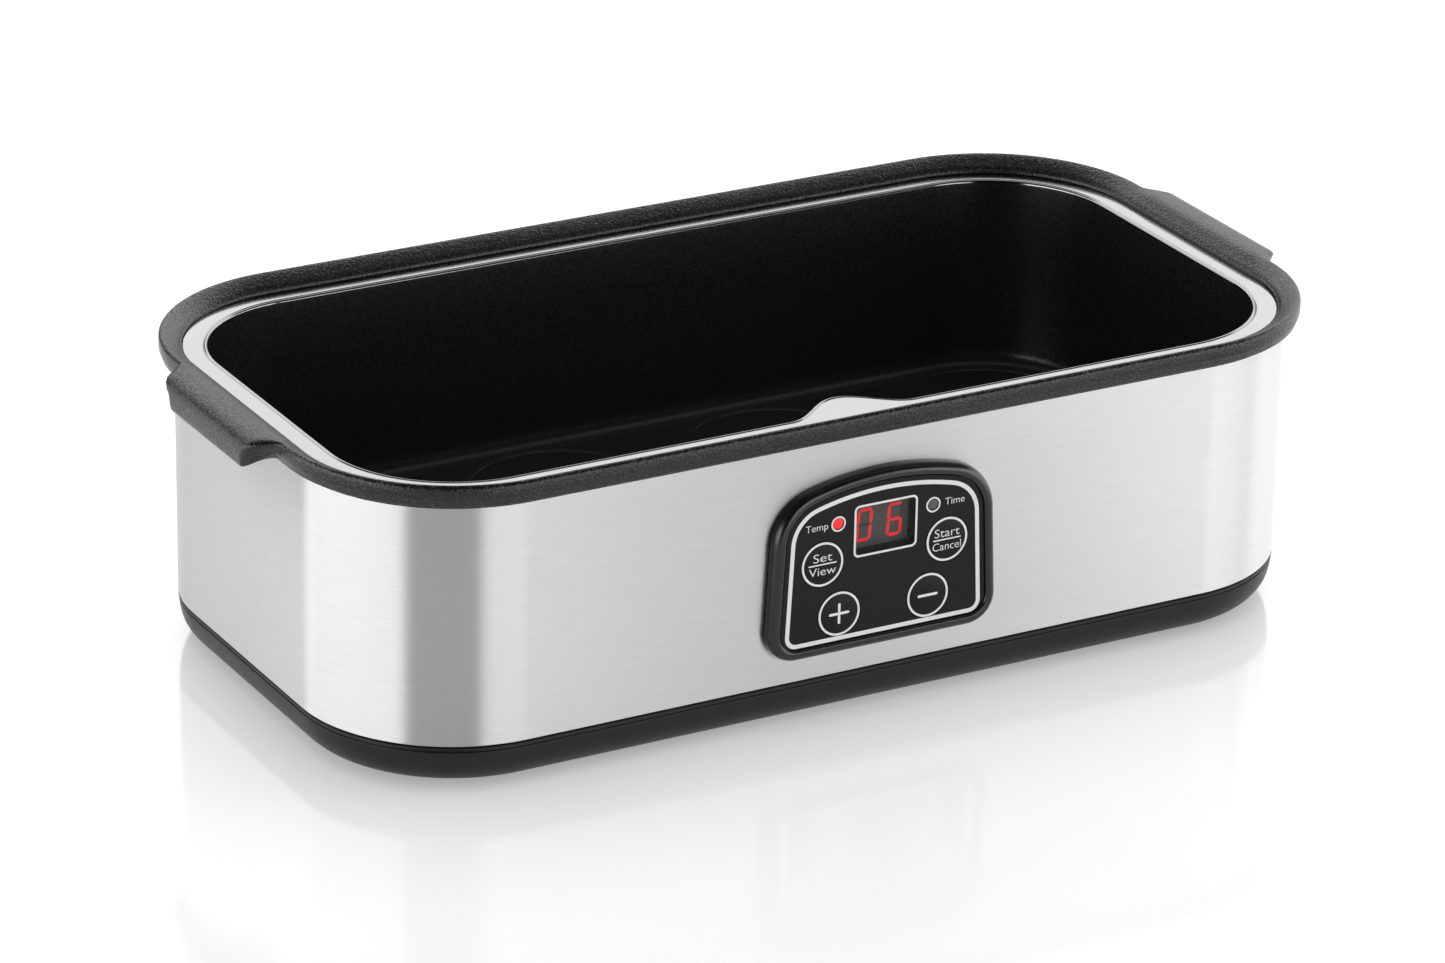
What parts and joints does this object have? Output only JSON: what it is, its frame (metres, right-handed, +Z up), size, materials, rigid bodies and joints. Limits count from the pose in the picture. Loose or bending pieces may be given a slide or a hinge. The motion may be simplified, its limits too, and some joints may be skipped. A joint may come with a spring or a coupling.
{
  "type": "jar cooker base unit",
  "caption": "Long, low electric jar cooker base: brushed steel band, black rim with moulded handles, dark coated well with jar-seat rings and a small control panel with keys.",
  "frame": {"origin": "bottom centre of the bounding box, on the table under the middle of the body", "axes": "+X along the body to the right as seen from the front, +Y to the back, +Z up; the control panel faces -Y"},
  "size_m": [0.3552, 0.1844, 0.0986],
  "materials": {
    "textured_black_plastic": "sand-blasted texture",
    "base_black_plastic": "satin",
    "brushed_steel": "brushed along its length",
    "pan_coating": "semi-gloss non-stick coating on aluminium",
    "gloss_black_plastic": "gloss",
    "printed_fascia": "matte film with white print",
    "smoked_window": "clear smoked",
    "display_grey": "matte",
    "red_indicator": "lit red lens",
    "grey_indicator": "clear lens, unlit",
    "foot_rubber": "matte",
    "zinc_plated_steel": "zinc plated",
    "bare_aluminium": "mill finish",
    "circuit_board": "solder mask",
    "component_case": "moulded",
    "wire_cover": "silicone cover"
  },
  "bodies": {
    "housing": {"top_rim": "textured_black_plastic", "base_tray": "base_black_plastic", "cord_gland": "base_black_plastic", "panel_retainer": "base_black_plastic", "steel_band": "brushed_steel", "inner_pan": "pan_coating", "control_bezel": "gloss_black_plastic", "control_fascia": "printed_fascia", "display_window": "smoked_window", "led_display": "display_grey", "indicator_temp": "red_indicator", "indicator_time": "grey_indicator", "foot_front_left": "foot_rubber", "foot_front_right": "foot_rubber", "foot_rear_left": "foot_rubber", "foot_rear_right": "foot_rubber", "base_screw_front_left": "zinc_plated_steel", "base_screw_front_right": "zinc_plated_steel", "base_screw_rear_left": "zinc_plated_steel", "base_screw_rear_right": "zinc_plated_steel", "pan_standoff_front_left": "zinc_plated_steel", "pan_standoff_front_right": "zinc_plated_steel", "pan_standoff_rear_left": "zinc_plated_steel", "pan_standoff_rear_right": "zinc_plated_steel", "board_screw_1": "zinc_plated_steel", "board_screw_2": "zinc_plated_steel", "board_screw_3": "zinc_plated_steel", "board_screw_4": "zinc_plated_steel", "power_board_screw_1": "zinc_plated_steel", "power_board_screw_2": "zinc_plated_steel", "heating_element": "zinc_plated_steel", "thermal_fuse": "zinc_plated_steel", "heat_shield": "bare_aluminium", "heater_strap_left": "bare_aluminium", "heater_strap_right": "bare_aluminium", "temperature_sensor": "bare_aluminium", "control_board": "circuit_board", "power_board": "circuit_board", "relay": "component_case", "film_capacitor": "component_case", "electrolytic_capacitor": "component_case", "terminal_block": "component_case", "buzzer": "component_case", "controller_chip": "component_case", "switch_set_view": "component_case", "switch_start_cancel": "component_case", "switch_plus": "component_case", "switch_minus": "component_case", "heater_lead_left": "wire_cover", "heater_lead_right": "wire_cover", "sensor_lead": "wire_cover", "signal_cable": "wire_cover"},
    "key_set_view": {"key_set_view": "printed_fascia"},
    "key_start_cancel": {"key_start_cancel": "printed_fascia"},
    "key_plus": {"key_plus": "printed_fascia"},
    "key_minus": {"key_minus": "printed_fascia"}
  },
  "joints": [
    {"name": "key_set_view_press", "type": "slide", "parent": "housing", "child": "key_set_view", "axis": [0, 1, 0], "range_m": [0, 0.0005], "stiffness_N_per_m": 1200},
    {"name": "key_start_cancel_press", "type": "slide", "parent": "housing", "child": "key_start_cancel", "axis": [0, 1, 0], "range_m": [0, 0.0005], "stiffness_N_per_m": 1200},
    {"name": "key_plus_press", "type": "slide", "parent": "housing", "child": "key_plus", "axis": [0, 1, 0], "range_m": [0, 0.0005], "stiffness_N_per_m": 1200},
    {"name": "key_minus_press", "type": "slide", "parent": "housing", "child": "key_minus", "axis": [0, 1, 0], "range_m": [0, 0.0005], "stiffness_N_per_m": 1200}
  ]
}
